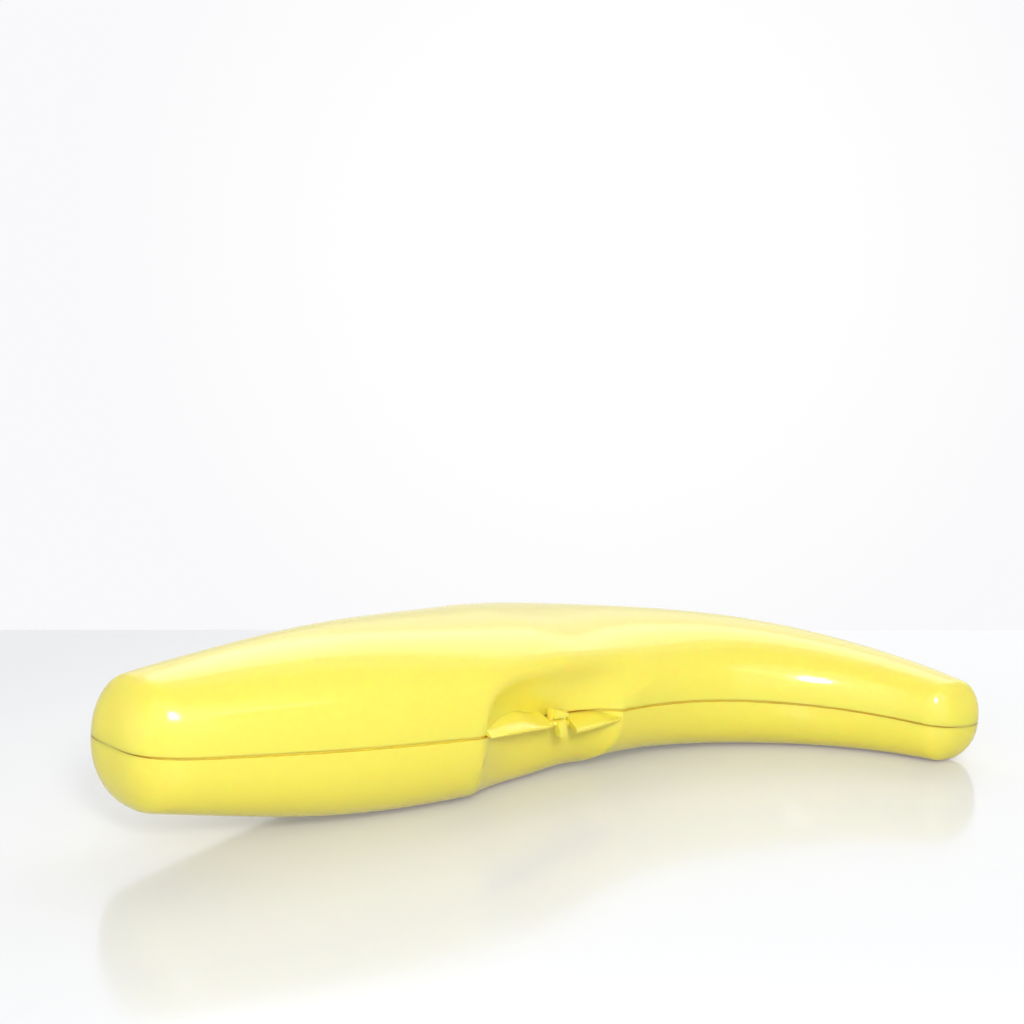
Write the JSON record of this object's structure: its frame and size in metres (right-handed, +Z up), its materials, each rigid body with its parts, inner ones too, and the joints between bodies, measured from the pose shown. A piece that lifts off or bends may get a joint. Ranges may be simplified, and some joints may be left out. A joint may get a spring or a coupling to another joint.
{
  "type": "banana carrying case",
  "caption": "Hard curved case for a banana: two glossy half shells on a pinned hinge, with a finger scoop, push tabs and a small clasp on the hollow side.",
  "frame": {"origin": "middle of the shut case's box, on the table it lies on", "axes": "+X along its length towards the tip, +Y towards the round back with the hinge, +Z up"},
  "size_m": [0.247, 0.0908, 0.0486],
  "materials": {
    "shell": "glossy moulded",
    "pin": "drawn wire"
  },
  "bodies": {
    "base": {"lower_shell": "shell", "hinge_pin": "pin"},
    "lid": {"upper_shell": "shell"},
    "latch": {"latch_hook": "shell"}
  },
  "joints": [
    {"name": "lid_hinge", "type": "hinge", "parent": "base", "child": "lid", "pos_m": [-0.05724, 0.0198, 0.0264], "axis": [-0.8796, -0.4736, 0.0458], "range_deg": [0, 180]},
    {"name": "latch_flex", "type": "hinge", "parent": "lid", "child": "latch", "pos_m": [-0.00372, -0.02732, 0.02159], "axis": [-0.0726, 0.0384, -0.9966], "range_deg": [0, 10], "stiffness_Nm_per_rad": 0.05}
  ]
}
